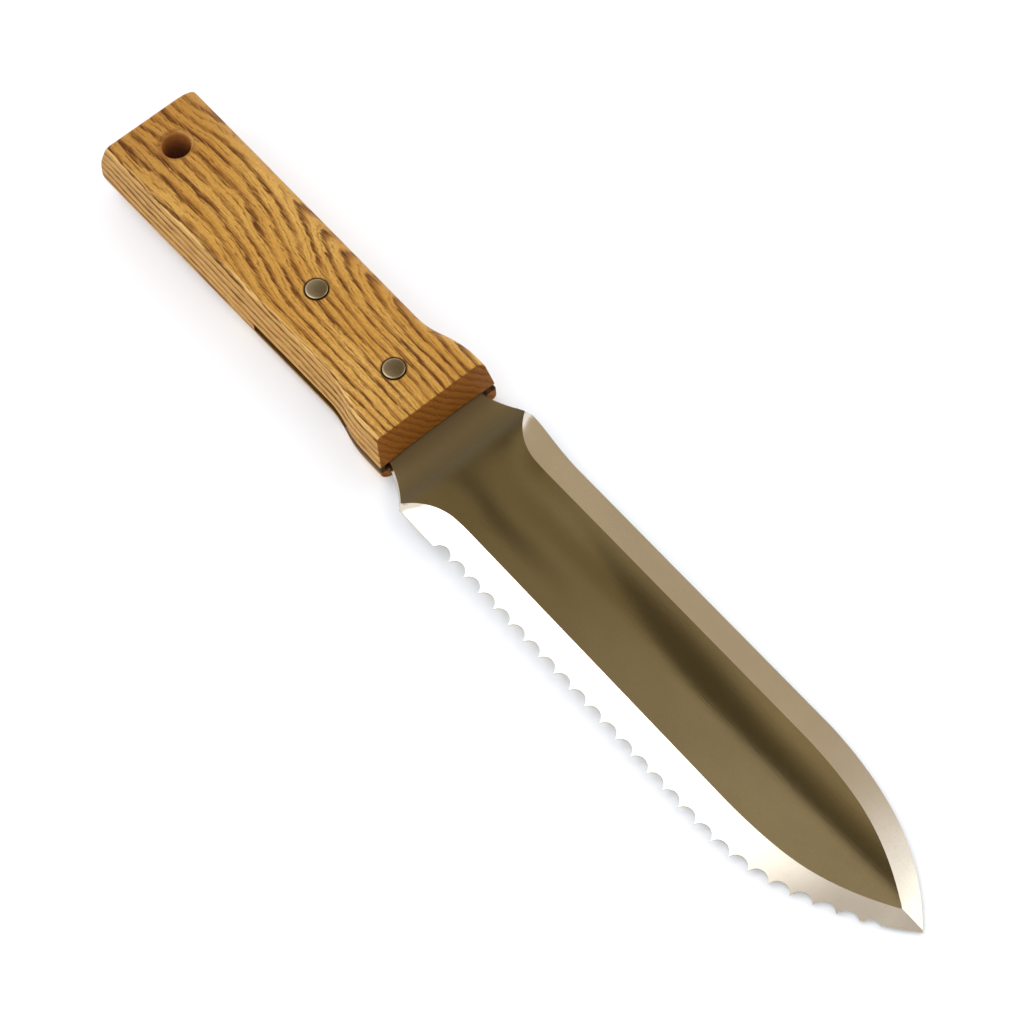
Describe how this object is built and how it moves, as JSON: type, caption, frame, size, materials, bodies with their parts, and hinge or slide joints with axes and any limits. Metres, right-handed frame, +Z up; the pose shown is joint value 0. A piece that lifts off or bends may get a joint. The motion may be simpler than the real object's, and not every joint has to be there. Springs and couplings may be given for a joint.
{
  "type": "hori hori knife",
  "caption": "Hori hori garden knife with a slotted wooden handle, a wide dished blade with one plain and one serrated edge, through rivets and a hanging hole.",
  "frame": {"origin": "on the axis of the hanging hole in the handle, at the middle of the tang's thickness", "axes": "+X from the butt to the blade's tip, +Y to the plain cutting edge (serrations on -Y), +Z up out of the face the bevels are ground on"},
  "size_m": [0.3086, 0.0443, 0.021],
  "materials": {
    "wood": "oiled, open-pored ash",
    "steel": "satin stainless sheet, ground bevels",
    "pin": "satin"
  },
  "bodies": {
    "root": {"handle": "wood", "blade": "steel", "rivet_front": "pin", "rivet_rear": "pin"}
  },
  "joints": []
}
